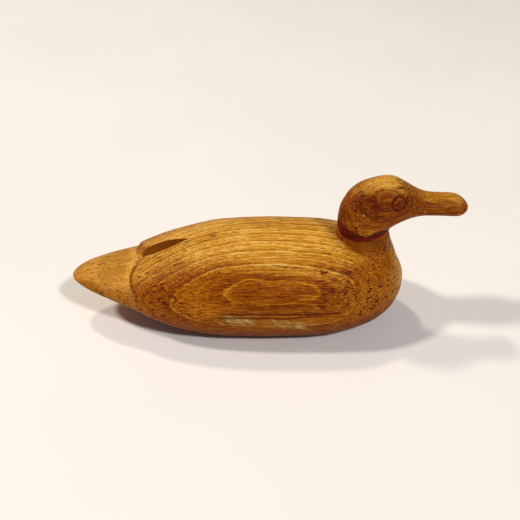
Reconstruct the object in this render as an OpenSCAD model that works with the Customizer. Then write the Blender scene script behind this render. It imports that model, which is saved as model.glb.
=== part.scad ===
// Floating duck decoy: a carved wooden body with folded wings and a paddle tail, a carved
// head that turns on a dowel through the neck, and the lead ballast and anchor-line tie
// let into the flat bottom. +X points from the tail to the bill and +Z up. The flat bottom
// lies on z = 0, and x = 0 is midway between the tip of the tail and the tip of the bill.

/* [Body] */
// Length of the body, from the tip of the tail to the breast
body_len = 245; // [220:1:320]
// Width of the body across the flanks
body_w = 100; // [88:1:132]
// Height of the back above the flat bottom
body_h = 70; // [62:1:90]

/* [Tail and wings] */
// Height of the wing tips above the tail
wing_step = 4.2; // [2:0.1:7]
// Length of the notch between the wing tips
notch_len = 38; // [24:1:50]
// Width of the notch between the wing tips
notch_w = 13; // [8:0.5:18]
// Depth of the notch below the back
notch_depth = 8.5; // [5:0.5:14]

/* [Head and neck] */
// Length of the neck joint, front to rear
neck_l = 37; // [32:0.5:44]
// Width of the neck joint
neck_w = 32; // [28:0.5:38]
// Reach of the bill ahead of the neck's axis
bill_reach = 71; // [62:1:90]
// Height of the crown above the neck joint
head_h = 38; // [34:0.5:50]
// Width of the head across the cheeks
head_w = 34; // [30:0.5:44]
// Width of the bill near its tip
bill_w = 23; // [16:0.5:28]
// Thickness of the dark collar in the neck
collar_t = 4; // [3:0.1:5]
// How far the collar lies below the neck's surface
collar_inset = 1; // [0.4:0.1:2]
// Diameter of the dowel the head turns on
dowel_d = 12; // [10:0.5:14]

/* [Ballast and line tie] */
// Length of the lead ballast bar
ballast_l = 78; // [50:1:84]
// Width of the lead ballast bar
ballast_w = 22; // [16:1:30]
// Thickness of the lead ballast bar
ballast_t = 8; // [6:0.5:12]
// Diameter of the pocket around the line tie
pocket_d = 22; // [20:0.5:24]
// Inner diameter of the tie ring
tie_ring_d = 8; // [7:0.5:9]

/* [Hidden] */

// Clearances: around a turning dowel, between parts that pass each other, around let-in parts
turn_gap = 0.05;
part_gap = 0.3;
inlay_gap = 0.3;

neck_setback = 0.13 * body_len;
total_len = body_len - neck_setback + bill_reach;
tail_x = -total_len / 2;
neck_x = tail_x + body_len - neck_setback;
stub_z = 0.995 * body_h;
head_z = stub_z + collar_t + part_gap;

// Neck joint: seat of the washer, hole below it, dowel end in the head, screw and plug
seat_z = 30;
access_d = 18;
dowel_top_z = head_z + 0.62 * head_h;
washer_d = 16;
washer_t = 1.4;
head_screw_d = 4.5;
head_screw_l = 30;
head_screw_head_d = 10;
head_screw_head_h = 3.6;
plug_t = 8;

// Line tie: a screw eye in a pocket behind the neck, with a loose ring hanging in it
tie_x = neck_x - 24.5;
ring_wire = 1.8;
tie_ring_r = (tie_ring_d + ring_wire) / 2;
eye_wire = 2.2;
eye_r = 4;
eye_shank_d = 3;
eye_shank_l = 20;
swing_z = 2 * tie_ring_r + ring_wire / 2 + 2;
eye_z = swing_z + eye_r - (eye_wire + ring_wire) / 2 - part_gap;
pocket_z = eye_z + eye_r + eye_wire / 2 + 1.5;

// Ballast bar and its two screws
ballast_x = tie_x - pocket_d / 2 - 5 - ballast_l / 2;
ballast_screw_d = 4;
ballast_screw_l = 28;
ballast_head_d = 8;
sink_d = ballast_head_d + 0.6;
ballast_screw_x = [ballast_x - 0.3 * ballast_l, ballast_x + 0.3 * ballast_l];

// ---- smooth curves and carved skins --------------------------------------------------

// Slope of a curve through [[position, value], ...] at knot i
function slope(knots, i) =
    let (a = knots[max(i - 1, 0)], b = knots[min(i + 1, len(knots) - 1)])
    (b[1] - a[1]) / (b[0] - a[0]);

// Smooth curve through the knots, read at position u
function fair(knots, u, i = 0) =
    i < len(knots) - 2 && u > knots[i + 1][0] ? fair(knots, u, i + 1)
    : let (a = knots[i], b = knots[i + 1], span = b[0] - a[0],
           t = (u - a[0]) / span, ma = slope(knots, i) * span, mb = slope(knots, i + 1) * span)
      (2 * t ^ 3 - 3 * t ^ 2 + 1) * a[1] + (t ^ 3 - 2 * t ^ 2 + t) * ma
      + (3 * t ^ 2 - 2 * t ^ 3) * b[1] + (t ^ 3 - t ^ 2) * mb;

// How far a rounded end has opened at distance d from its tip: 0 there, 1 beyond reach
function opened(d, reach, power) =
    d >= reach ? 1 : (1 - (1 - max(d, 0) / reach) ^ power) ^ (1 / power);

// One ring of a carved skin, at x. section = [half width, top, height of the widest line,
// bottom, roundness above, roundness below]. The ring runs from the lower edge on the -Y
// side over the top to the lower edge on the +Y side, and ends at the plane z = base.
function ring(x, section, base, n) =
    let (hw = section[0], top = section[1], mid = section[2], low = section[3],
         up = section[4], down = section[5],
         cut = low >= base ? 90 : asin(min(1, ((mid - base) / (mid - low)) ^ (down / 2))),
         edge = min(cut, 86))
    [for (i = [0 : n])
        let (angle = -edge + (180 + 2 * edge) * i / n,
             above = angle > 0 && angle < 180,
             power = above ? up : down,
             side = abs(cos(angle)) ^ (2 / power),
             lift = abs(sin(angle)) ^ (2 / power))
        [x, -hw * sign(cos(angle)) * side,
         above ? mid + (top - mid) * lift : max(base, mid - (mid - low) * lift)]];

// Closed skin over rings that hold equally many points
module skin(rings) {
    n = len(rings[0]);
    end = (len(rings) - 1) * n;
    sides = [for (i = [0 : len(rings) - 2], j = [0 : n - 1])
        let (a = i * n + j, b = i * n + (j + 1) % n, c = a + n, d = b + n)
        each [[a, b, c], [b, d, c]]];
    first_cap = [for (j = [1 : n - 2]) [0, j + 1, j]];
    last_cap = [for (j = [1 : n - 2]) [end, end + j, end + j + 1]];
    polyhedron([for (r = rings) each r], concat(sides, first_cap, last_cap));
}

// Positions from a to b, closer together at both rounded ends
function stations(a, b, n) = [for (i = [0 : n]) a + (b - a) * (1 - cos(180 * i / n)) / 2];

// ---- body ------------------------------------------------------------------------------

// Lines of the body, each against the share of its length from the tip of the tail:
// height of the back, half width, height of the widest line and height of the underside
back_line = [[0.19, 0.68], [0.26, 0.78], [0.34, 0.88], [0.44, 0.965], [0.56, 1], [0.7, 0.99],
             [0.8, 0.955], [0.9, 0.90], [1, 0.86]];
beam_line = [[0.2, 0.70], [0.26, 0.83], [0.33, 0.92], [0.42, 0.98], [0.53, 1], [0.68, 1],
             [0.8, 0.97], [0.9, 0.93], [1, 0.90]];
wide_line = [[0, 0.47], [0.1, 0.45], [0.2, 0.44], [0.35, 0.42], [0.55, 0.43], [1, 0.43]];
under_line = [[0, 0.45], [0.05, 0.42], [0.11, 0.37], [0.16, 0.30], [0.2, 0.235], [0.25, 0.145],
              [0.3, 0.055], [0.36, -0.02], [0.44, -0.08], [0.55, -0.10], [0.7, -0.09], [0.8, -0.05],
              [0.9, -0.01], [1, -0.01]];
under_round = [[0, 3], [0.12, 2.8], [0.3, 2.35], [0.6, 2.3], [1, 2.2]];
// The back of the tail, in shares of its height where it comes out under the wing tips
tail_top_line = [[0, 0.741], [0.05, 0.843], [0.11, 0.906], [0.19, 0.985], [0.3, 1.182]];
tail_root_z = fair(back_line, 0.2) * body_h - wing_step;
breast_depth = 30;
breast_width = 58;
// The mantle starts and the tail ends inside each other; the notch starts at the wing tips
mantle_start = 0.18;
tail_reach = 0.29;
notch_start = 0.213;

// Section of the mantle, or of the tail if it is given an inset: the tail has its own back, and
// lies that much inside the mantle
function body_section(x, inset) =
    let (u = (x - tail_x) / body_len,
         ahead = tail_x + body_len - x,
         nose = 0.43 * body_h,
         tall = opened(ahead, breast_depth, 2),
         wide = opened(ahead, breast_width, 1.85),
         fan = u < 0.2 ? sqrt(u / 0.2) * 0.70 : fair(beam_line, u),
         mid = fair(wide_line, u) * body_h,
         top = inset > 0 ? fair(tail_top_line, u) * tail_root_z : fair(back_line, u) * body_h,
         low = fair(under_line, u) * body_h)
    [body_w / 2 * fan * wide - inset,
     nose + (top - nose) * tall,
     nose + (mid - nose) * tall,
     nose + (low - nose) * tall + inset,
     2.15, fair(under_round, u)];

// Back and wings, from the wing tips to the breast
module mantle() {
    start = tail_x + mantle_start * body_len;
    skin([for (x = stations(start, tail_x + body_len - 0.06, 38))
          ring(x, body_section(x, 0), 0, 34)]);
}

// Paddle tail, reaching forward inside the back
module tail() {
    skin([for (x = stations(tail_x + 0.1, tail_x + tail_reach * body_len, 22))
          ring(x, body_section(x, 0.5), 0, 30)]);
}

// Everything behind the wing tips in plan: the tips are two soft lobes beside the centre line
module behind_wings() {
    lobes = [for (i = [-24 : 24])
        let (y = i * body_w / 46, v = abs(i) / 23)
        [tail_x + body_len * (0.21 - 0.018 * sin(180 * min(1, v / 0.7)) + 0.04 * max(0, v - 0.6)),
         y]];
    polygon(concat([[tail_x - 5, -body_w]], lobes, [[tail_x - 5, body_w]]));
}

// Leaf shape of the notch in plan: blunt at the wing tips, pointed ahead
module notch_outline() {
    leaf = [[0, 0.6], [0.08, 0.78], [0.2, 0.94], [0.35, 1], [0.5, 0.93], [0.65, 0.75], [0.8, 0.47],
            [1, 0.04]];
    side = [for (i = [0 : 16]) [notch_len * i / 16, notch_w / 2 * fair(leaf, i / 16)]];
    polygon(concat(side, [for (i = [16 : -1 : 0]) [side[i][0], -side[i][1]]]));
}

// Notch between the wing tips, square to the slope of the back there
module notch() {
    rear_z = fair(back_line, notch_start) * body_h;
    front_z = fair(back_line, notch_start + notch_len / body_len) * body_h;
    slope = atan((front_z - rear_z) / notch_len);
    translate([tail_x + notch_start * body_len, 0, rear_z]) rotate([0, -slope, 0])
        translate([0, 0, -notch_depth]) linear_extrude(notch_depth + 14) notch_outline();
}

// Oval of the neck in plan, shrunk by inset
module neck_oval(inset) {
    scale([neck_l - 2 * inset, neck_w - 2 * inset]) circle(d = 1, $fn = 96);
}

// Neck rising from the back: [height share of the stub, extra half length ahead, behind, at
// the sides], widest where it runs into the back
flare = [[0.60, 8.6, 3, 12], [0.70, 7.5, 3, 10.5], [0.77, 5.9, 3, 8], [0.83, 4.2, 3, 5],
         [0.88, 2.7, 2.6, 2.6], [0.94, 1.2, 1.2, 0.9], [1, 0, 0, 0]];
module neck_stub() {
    rings = [for (f = flare) [for (i = [0 : 39])
        let (angle = -9 * i, ahead = cos(angle) > 0 ? f[1] : f[2])
        [neck_x + (neck_l / 2 + ahead) * cos(angle), (neck_w / 2 + f[3]) * sin(angle), stub_z * f[0]]]];
    skin(rings);
}

module body() {
    color("peru")
    difference() {
        union() {
            difference() {
                mantle();
                linear_extrude(2 * body_h) behind_wings();
            }
            tail();
            neck_stub();
        }
        notch();
        // bore of the turning dowel, and the wider hole its screw is reached through
        translate([neck_x, 0, seat_z - 1])
            cylinder(r = dowel_d / 2 + turn_gap, h = stub_z - seat_z + 3, $fn = 72);
        translate([neck_x, 0, -1]) cylinder(d = access_d, h = seat_z + 1, $fn = 72);
        // recess of the ballast bar and its screw holes
        translate([ballast_x, 0, -1]) linear_extrude(ballast_t + inlay_gap + 1)
            slot_shape(ballast_l + 2 * inlay_gap, ballast_w + 2 * inlay_gap);
        for (x = ballast_screw_x)
            translate([x, 0, 0]) cylinder(d = ballast_screw_d, h = inlay_gap + ballast_screw_l, $fn = 32);
        // pocket of the line tie and the hole of its screw eye
        translate([tie_x, 0, -1]) cylinder(d = pocket_d, h = pocket_z + 1, $fn = 72);
        translate([tie_x, 0, pocket_z - 1]) cylinder(d = eye_shank_d, h = eye_shank_l + 1, $fn = 32);
    }
}

// Plan of a bar with round ends
module slot_shape(l, w) {
    for (side = [-1, 1])
        translate([side * (l - w) / 2, 0]) circle(d = w, $fn = 64);
    square([l - w, w], center = true);
}

// ---- head ------------------------------------------------------------------------------

// Lines of the head. Positions run from 0 at the back of the head to 1 at the tip of the
// bill; heights are shares of head_h above the neck joint and widths shares of head_w.
crown_line = [[0, 0.26], [0.012, 0.44], [0.04, 0.585], [0.09, 0.74], [0.16, 0.86], [0.25, 0.955],
              [0.35, 1], [0.44, 0.975], [0.52, 0.875], [0.58, 0.785], [0.66, 0.70], [0.78, 0.655],
              [0.9, 0.635], [1, 0.56]];
bill = bill_w / head_w;
cheek_line = [[0, 0.50], [0.08, 0.74], [0.16, 0.88], [0.26, 0.97], [0.36, 1], [0.45, 0.945], [0.53, 0.82],
              [0.6, 1.02 * bill], [0.68, 0.917 * bill], [0.8, 0.976 * bill], [0.9, 1.005 * bill],
              [1, 0.917 * bill]];
side_line = [[0, 0.20], [0.1, 0.40], [0.3, 0.53], [0.45, 0.54], [0.6, 0.48], [0.75, 0.46], [1, 0.44]];
jaw_line = [[0, -0.25], [0.1, -0.43], [0.2, -0.40], [0.28, -0.25], [0.35, -0.08], [0.42, 0.07],
            [0.5, 0.19], [0.6, 0.28], [0.72, 0.30], [0.9, 0.30], [1, 0.36]];

function head_section(x) =
    let (back = neck_x - neck_l / 2 - 0.4,
         u = (x - back) / (neck_x + bill_reach - back),
         rear = opened(x - back, 14, 2),
         tip = opened(neck_x + bill_reach - x, 9, 2.2),
         mid = fair(side_line, u) * head_h)
    [head_w / 2 * fair(cheek_line, u) * rear * tip,
     head_z + mid + (fair(crown_line, u) * head_h - mid) * tip,
     head_z + mid,
     head_z + mid + (fair(jaw_line, u) * head_h - mid) * tip,
     2.1, 2.2];

// Lower neck of the head, wider above where it runs into the cheeks
module head_neck() {
    rise = [[0, -0.6], [0.12, -0.5], [0.3, -0.9], [0.44, -2.5]];
    skin([for (r = rise) [for (i = [0 : 35])
        let (angle = -10 * i)
        [neck_x + (neck_l / 2 + r[1] - 4 * r[0]) * cos(angle), (neck_w / 2 + r[1]) * sin(angle),
         head_z + r[0] * head_h]]]);
}

module head() {
    back = neck_x - neck_l / 2 - 0.4;
    color("peru")
    difference() {
        union() {
            skin([for (x = stations(back + 0.15, neck_x + bill_reach - 0.06, 44))
                  ring(x, head_section(x), head_z, 30)]);
            head_neck();
        }
        translate([neck_x, 0, head_z - 1])
            cylinder(d = dowel_d, h = dowel_top_z - head_z + 1, $fn = 72);
    }
}

// ---- neck joint ------------------------------------------------------------------------

module neck_collar() {
    color("maroon")
    translate([0, 0, stub_z])
    difference() {
        translate([neck_x, 0, 0]) linear_extrude(collar_t) neck_oval(collar_inset);
        translate([neck_x, 0, -1]) cylinder(r = dowel_d / 2 + turn_gap, h = collar_t + 2, $fn = 72);
    }
}

module neck_dowel() {
    color("burlywood")
    difference() {
        translate([neck_x, 0, seat_z - part_gap])
            cylinder(d = dowel_d, h = dowel_top_z - seat_z + part_gap, $fn = 72);
        translate([neck_x, 0, seat_z - part_gap - 1])
            cylinder(d = head_screw_d, h = head_screw_l + 1, $fn = 32);
    }
}

// Screw with a low round head and a straight slot: its shank rises from the top of the head
module slotted_head(d, h, slot_w, slot_h) {
    difference() {
        rotate_extrude($fn = 48)
            polygon([[0, 0], [0.36 * d, 0], [0.45 * d, 0.2 * h], [0.5 * d, 0.55 * h], [0.5 * d, h], [0, h]]);
        translate([-d, -slot_w / 2, -1]) cube([2 * d, slot_w, slot_h + 1]);
    }
}

module head_screw() {
    top = seat_z - part_gap - washer_t;
    color("silver") {
        translate([neck_x, 0, top - head_screw_head_h])
            slotted_head(head_screw_head_d, head_screw_head_h, 1.4, 1.3);
        translate([neck_x, 0, top - 0.5])
            cylinder(d = head_screw_d, h = head_screw_l + washer_t - 0.5, $fn = 32);
    }
}

module screw_washer() {
    color("silver")
    translate([neck_x, 0, seat_z - part_gap - washer_t])
    difference() {
        cylinder(d = washer_d, h = washer_t, $fn = 64);
        translate([0, 0, -1]) cylinder(d = head_screw_d + 0.5, h = washer_t + 2, $fn = 48);
    }
}

module bottom_plug() {
    color("tan")
    translate([neck_x, 0, 0.5]) cylinder(d = access_d, h = plug_t, $fn = 72);
}

// ---- ballast and line tie --------------------------------------------------------------

module ballast_weight() {
    color("dimgray")
    difference() {
        translate([ballast_x, 0, inlay_gap])
            linear_extrude(ballast_t) slot_shape(ballast_l, ballast_w);
        for (x = ballast_screw_x) translate([x, 0, 0]) {
            translate([0, 0, -1]) cylinder(d = ballast_screw_d + 0.6, h = ballast_t + 3, $fn = 32);
            translate([0, 0, inlay_gap - 0.01])
                cylinder(d1 = sink_d, d2 = ballast_screw_d, h = (sink_d - ballast_screw_d) / 2, $fn = 48);
        }
    }
}

module ballast_screws() {
    color("goldenrod")
    for (x = ballast_screw_x) translate([x, 0, inlay_gap + 0.1])
    difference() {
        union() {
            cylinder(d1 = ballast_head_d, d2 = ballast_screw_d,
                     h = (ballast_head_d - ballast_screw_d) / 2, $fn = 48);
            translate([0, 0, 1]) cylinder(d = ballast_screw_d, h = ballast_screw_l - 1.1, $fn = 32);
        }
        translate([-ballast_head_d, -0.6, -1]) cube([2 * ballast_head_d, 1.2, 2]);
    }
}

module line_tie_eye() {
    color("gold")
    translate([tie_x, 0, eye_z]) {
        rotate([90, 0, 0]) rotate_extrude($fn = 64)
            translate([eye_r, 0]) circle(r = eye_wire / 2, $fn = 24);
        translate([0, 0, eye_r])
            cylinder(d = eye_shank_d, h = pocket_z + eye_shank_l - eye_z - eye_r, $fn = 32);
    }
}

module line_tie_ring() {
    color("gold")
    translate([tie_x, 0, swing_z - tie_ring_r]) rotate([0, 90, 0])
        rotate_extrude($fn = 64) translate([tie_ring_r, 0]) circle(r = ring_wire / 2, $fn = 24);
}

body();
head();
neck_collar();
neck_dowel();
head_screw();
screw_washer();
bottom_plug();
ballast_weight();
ballast_screws();
line_tie_eye();
line_tie_ring();
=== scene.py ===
"""Carved wooden duck decoy: a body with folded wings and a paddle tail, a head that turns on a
dowel, a dark collar between them, and the ballast, plug and line tie under the flat bottom."""

import math

import bmesh
import bpy
from bpy.props import FloatProperty, FloatVectorProperty, PointerProperty
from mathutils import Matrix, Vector, noise


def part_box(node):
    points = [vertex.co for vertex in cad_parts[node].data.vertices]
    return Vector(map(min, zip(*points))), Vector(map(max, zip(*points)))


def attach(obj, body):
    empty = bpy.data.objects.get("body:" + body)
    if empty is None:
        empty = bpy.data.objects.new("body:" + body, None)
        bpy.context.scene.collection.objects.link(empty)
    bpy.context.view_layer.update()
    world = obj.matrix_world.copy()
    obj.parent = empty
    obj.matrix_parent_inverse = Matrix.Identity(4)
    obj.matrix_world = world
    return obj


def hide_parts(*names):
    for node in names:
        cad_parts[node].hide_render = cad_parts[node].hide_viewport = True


bl_info = {
    "name": "Carved duck decoy",
    "version": (1, 0, 0),
    "blender": (4, 5, 0),
    "location": "View3D > Sidebar > Decoy",
    "description": "Carves a wooden duck decoy with a turning head, piece by piece",
    "category": "Add Mesh",
}

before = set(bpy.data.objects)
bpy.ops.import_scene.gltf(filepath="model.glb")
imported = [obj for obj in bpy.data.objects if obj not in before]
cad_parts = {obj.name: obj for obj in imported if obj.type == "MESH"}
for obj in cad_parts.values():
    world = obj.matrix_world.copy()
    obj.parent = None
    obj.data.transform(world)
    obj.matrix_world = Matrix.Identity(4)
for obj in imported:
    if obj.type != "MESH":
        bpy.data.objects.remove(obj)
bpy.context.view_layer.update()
MM = 0.001


def box_mm(node):
    """Lowest and highest corner of a frame node, in millimetres."""
    low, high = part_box(node)
    return Vector(low) / MM, Vector(high) / MM


BODY_LOW, BODY_HIGH = box_mm("body")
HEAD_LOW, HEAD_HIGH = box_mm("head")
COLLAR_LOW, COLLAR_HIGH = box_mm("neck_collar")
PLUG_LOW, PLUG_HIGH = box_mm("bottom_plug")
BALLAST_LOW, BALLAST_HIGH = box_mm("ballast_weight")
DOWEL_LOW, DOWEL_HIGH = box_mm("neck_dowel")
RING_LOW, RING_HIGH = box_mm("line_tie_ring")
WASHER_HIGH = box_mm("screw_washer")[1]
TIE_EYE_LOW = box_mm("line_tie_eye")[0]
NECK_X = (DOWEL_LOW.x + DOWEL_HIGH.x) / 2
TIE_X = (RING_LOW.x + RING_HIGH.x) / 2
# Middle of the carved eye, in millimetres
EYE_X, EYE_Z = NECK_X + 19.8, 100.2


# ---- sizes and colours --------------------------------------------------------------------


def length_mm(name, description, default, **limits):
    """A length property, in millimetres."""
    return FloatProperty(name=name, description=f"{description}, in millimetres", default=default, **limits)


class DecoySizes(bpy.types.PropertyGroup):
    body_length: length_mm("Body length", "Tail tip to breast", BODY_HIGH.x - BODY_LOW.x, min=50)
    body_width: length_mm("Body width", "Across the flanks", BODY_HIGH.y - BODY_LOW.y, min=20)
    body_height: length_mm("Body height", "Flat bottom to back", 70.0, min=20)
    wing_step: length_mm("Wing step", "Height of the wing tips above the tail", 4.2, min=0)
    neck_length: length_mm("Neck length", "Neck joint, front to rear", 37.0, min=10)
    neck_width: length_mm("Neck width", "Neck joint, side to side", 32.0, min=10)
    head_width: length_mm("Head width", "Across the cheeks", HEAD_HIGH.y - HEAD_LOW.y, min=10)
    eye_radius: length_mm("Eye radius", "Radius of the carved eye ring", 4.6, min=1)
    knife_marks: length_mm("Knife marks", "Depth of the knife's facets", 0.32, min=0, max=1)
    body_grain: length_mm("Body grain size", "Mesh size of the carved body", 0.92, min=0.5)
    head_grain: length_mm("Head grain size", "Mesh size of the carved head", 0.5, min=0.3)
    floor_size: FloatProperty(
        name="Floor size", description="Edge of the floor", default=6.0, unit="LENGTH", subtype="DISTANCE"
    )


def colour(name, description, default):
    """A colour property."""
    return FloatVectorProperty(name=name, description=description, default=default, subtype="COLOR", min=0, max=1)


class DecoyColours(bpy.types.PropertyGroup):
    # The back tones are the wood in painted light: faces turned up take them, so the top looks lit.
    back_deep: colour("Back, deep", "Late wood on the upper side", (0.34, 0.110, 0.007))
    back_gold: colour("Back, gold", "Most of the upper side", (0.62, 0.272, 0.015))
    back_pale: colour("Back, pale", "Early wood on the upper side", (0.80, 0.43, 0.056))
    back_line: colour("Back, growth line", "Thin light line along each growth ring", (0.88, 0.60, 0.22))
    # The flank tones are the same wood in painted shade, for the sides that turn away from the light.
    flank_deep: colour("Flank, deep", "Late wood on the sides", (0.13, 0.018, 0.001))
    flank_gold: colour("Flank, gold", "Most of the sides", (0.30, 0.074, 0.001))
    flank_pale: colour("Flank, pale", "Early wood on the sides", (0.46, 0.144, 0.002))
    flank_line: colour("Flank, growth line", "Thin light line along each growth ring", (0.68, 0.34, 0.03))
    # The cheek tones are the head's wood in painted shade, for its sides; its top takes the lit back tones.
    cheek_deep: colour("Cheek, deep", "Late wood on the sides of the head", (0.10, 0.012, 0.001))
    cheek_gold: colour("Cheek, gold", "Most of the sides of the head", (0.22, 0.044, 0.001))
    cheek_pale: colour("Cheek, pale", "Early wood on the sides of the head", (0.37, 0.100, 0.003))
    cheek_line: colour("Cheek, growth line", "Thin light line along each growth ring", (0.58, 0.25, 0.03))
    pore: colour("Pores", "Open pores and torn grain", (0.060, 0.006, 0.001))
    tail_tan: colour("Tail, tan", "Duller wood on top of the tail", (0.40, 0.17, 0.022))
    torn: colour("Torn grain", "Dark red stain in torn grain and seams", (0.110, 0.009, 0.001))
    # Wear and painted highlight: the pale band stands partly for the lit rear face of the step.
    worn_and_lit: colour("Worn step", "Pale worn wood behind the wing tips", (0.50, 0.30, 0.09))
    scuff: colour("Scuffs", "Old pale rub marks low on the flank", (0.52, 0.41, 0.13))
    collar_dark: colour("Collar, dark", "Darkest stain of the neck collar", (0.075, 0.006, 0.003))
    collar_red: colour("Collar, red", "Red-brown of the neck collar", (0.175, 0.010, 0.002))
    notch: colour("Notch", "Bare wood in the notch between the wing tips", (0.40, 0.130, 0.010))
    lead: colour("Lead", "Dull lead of the ballast bar", (0.16, 0.165, 0.175))
    brass: colour("Brass", "Tarnished brass of the fittings", (0.50, 0.33, 0.11))
    steel: colour("Steel", "Plated steel of the head screw", (0.52, 0.52, 0.53))
    floor: colour("Floor", "Pale floor", (0.93, 0.90, 0.885))


# ---- lines of the carving -----------------------------------------------------------------

# Each line runs against the share of the length, from the tip of the tail (or the back of the
# head) to the breast (or the tip of the bill)
BACK = ((0.19, 0.68), (0.26, 0.78), (0.34, 0.88), (0.44, 0.965), (0.56, 1), (0.7, 0.99), (0.8, 0.955),
        (0.9, 0.90), (1, 0.86))
TAIL_TOP = ((0, 0.741), (0.05, 0.843), (0.11, 0.906), (0.19, 0.985), (0.3, 1.182))
BEAM = ((0.2, 0.70), (0.26, 0.83), (0.33, 0.92), (0.42, 0.98), (0.53, 1), (0.68, 1), (0.8, 0.97),
        (0.9, 0.93), (1, 0.90))
WIDE = ((0, 0.47), (0.1, 0.45), (0.2, 0.44), (0.35, 0.42), (0.55, 0.43), (1, 0.43))
UNDER = ((0, 0.45), (0.05, 0.42), (0.11, 0.37), (0.16, 0.30), (0.2, 0.235), (0.25, 0.145), (0.3, 0.055),
         (0.36, -0.02), (0.44, -0.08), (0.55, -0.10), (0.7, -0.09), (0.8, -0.05), (0.9, -0.01), (1, -0.01))
UNDER_ROUND = ((0, 3), (0.12, 2.8), (0.3, 2.35), (0.6, 2.3), (1, 2.2))
CROWN = ((0, 0.26), (0.012, 0.44), (0.04, 0.585), (0.09, 0.74), (0.16, 0.86), (0.25, 0.955), (0.35, 1),
         (0.44, 0.975), (0.52, 0.875), (0.58, 0.785), (0.66, 0.70), (0.78, 0.655), (0.9, 0.635), (1, 0.56))
CHEEK = ((0, 0.50), (0.08, 0.74), (0.16, 0.88), (0.26, 0.97), (0.36, 1), (0.45, 0.945), (0.53, 0.82), (0.6, 0.69),
         (0.68, 0.62), (0.8, 0.66), (0.9, 0.68), (1, 0.62))
SIDE = ((0, 0.20), (0.1, 0.40), (0.3, 0.53), (0.45, 0.54), (0.6, 0.48), (0.75, 0.46), (1, 0.44))
JAW = ((0, -0.25), (0.1, -0.43), (0.2, -0.40), (0.28, -0.25), (0.35, -0.08), (0.42, 0.07), (0.5, 0.19), (0.6, 0.28),
       (0.72, 0.30), (0.9, 0.30), (1, 0.36))
# Neck above the back: height share, extra half length ahead, behind, and extra half width
FLARE = ((0.60, 8.6, 3, 12), (0.70, 7.5, 3, 10.5), (0.77, 5.9, 3, 8), (0.83, 4.2, 3, 5), (0.88, 2.7, 2.6, 2.6),
         (0.94, 1.2, 1.2, 0.9), (1, 0, 0, 0))
# Lower neck of the head: height share and extra half width
NAPE = ((0, 0), (0.12, -0.1), (0.3, -0.7), (0.44, -2.5))
# Leaf shape of the notch: share of its length and of its half width
LEAF = ((0, 0.6), (0.08, 0.78), (0.2, 0.94), (0.35, 1), (0.5, 0.93), (0.65, 0.75), (0.8, 0.47), (1, 0.04))
# Rear edge of the wings, in shares of the body's length: how far from the tail's tip it lies on the
# middle line, how far each wing tip bulges behind that, and how fast the outside draws ahead
WING_EDGE, WING_LOBE, WING_SWEEP = 0.21, 0.018, 0.04


def fair(line, u, column=1):
    """Smooth curve through the points of a line, read at u."""
    i = 0
    while i < len(line) - 2 and u > line[i + 1][0]:
        i += 1

    def slope(k):
        a, b = line[max(k - 1, 0)], line[min(k + 1, len(line) - 1)]
        return (b[column] - a[column]) / (b[0] - a[0])

    a, b = line[i], line[i + 1]
    span = b[0] - a[0]
    t = (u - a[0]) / span
    return (
        (2 * t**3 - 3 * t**2 + 1) * a[column]
        + (t**3 - 2 * t**2 + t) * slope(i) * span
        + (3 * t**2 - 2 * t**3) * b[column]
        + (t**3 - t**2) * slope(i + 1) * span
    )


def opened(distance, reach, power):
    """How far a rounded end has opened at a distance from its tip: 0 there, 1 beyond reach."""
    if distance >= reach:
        return 1.0
    return (1 - (1 - max(distance, 0) / reach) ** power) ** (1 / power)


def smooth(value, low, high):
    """0 below low, 1 above high, and smooth between."""
    t = min(1.0, max(0.0, (value - low) / (high - low)))
    return t * t * (3 - 2 * t)


def stations(a, b, count):
    """Positions from a to b, closer together at both rounded ends."""
    return [a + (b - a) * (1 - math.cos(math.pi * i / count)) / 2 for i in range(count + 1)]


def ring(x, half, top, wide, low, above, below, count):
    """One closed cross-section at x, in millimetres: rounder or squarer above and below its widest line."""
    points = []
    for i in range(count):
        a = 2 * math.pi * i / count
        c, s = math.cos(a), math.sin(a)
        power = above if s >= 0 else below
        y = half * math.copysign(abs(c) ** (2 / power), c)
        lift = abs(s) ** (2 / power)
        points.append((x, y, wide + (top - wide) * lift if s >= 0 else wide - (wide - low) * lift))
    return points


# ---- modelling ----------------------------------------------------------------------------


def deselect():
    """Nothing selected, in object mode."""
    if bpy.context.object and bpy.context.object.mode != "OBJECT":
        bpy.ops.object.mode_set(mode="OBJECT")
    bpy.ops.object.select_all(action="DESELECT")


def choose(*objects):
    """These objects selected, the first one active."""
    deselect()
    for piece in objects:
        piece.select_set(True)
    bpy.context.view_layer.objects.active = objects[0]


def lay(points, vertices):
    """Moves the vertices to points given in millimetres."""
    for vertex, point in zip(vertices, points):
        vertex.co = Vector(point) * MM


def loft(name, rings):
    """A closed skin: a circle is laid on the first ring and extruded from ring to ring, then capped."""
    deselect()
    bpy.ops.mesh.primitive_circle_add(vertices=len(rings[0]), radius=MM)
    piece = bpy.context.object
    piece.name = piece.data.name = name
    bpy.ops.object.mode_set(mode="EDIT")
    lay(rings[0], bmesh.from_edit_mesh(piece.data).verts)
    for points in rings[1:]:
        bpy.ops.mesh.extrude_edges_move()
        mesh = bmesh.from_edit_mesh(piece.data)
        lay(points, [v for v in mesh.verts if v.select])
    bpy.ops.mesh.edge_face_add()
    bpy.ops.mesh.select_all(action="DESELECT")
    bpy.ops.mesh.select_non_manifold()
    bpy.ops.mesh.edge_face_add()
    bpy.ops.mesh.select_all(action="SELECT")
    bpy.ops.mesh.normals_make_consistent(inside=False)
    bpy.ops.object.mode_set(mode="OBJECT")
    return piece


def join(first, *others):
    """One object from several."""
    choose(first, *others)
    bpy.ops.object.join()
    return first


def apply_modifier(piece, kind, **settings):
    """Adds a modifier with its settings and applies it."""
    choose(piece)
    modifier = piece.modifiers.new(kind.title(), kind)
    for key, value in settings.items():
        setattr(modifier, key, value)
    bpy.ops.object.modifier_apply(modifier=modifier.name)


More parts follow.
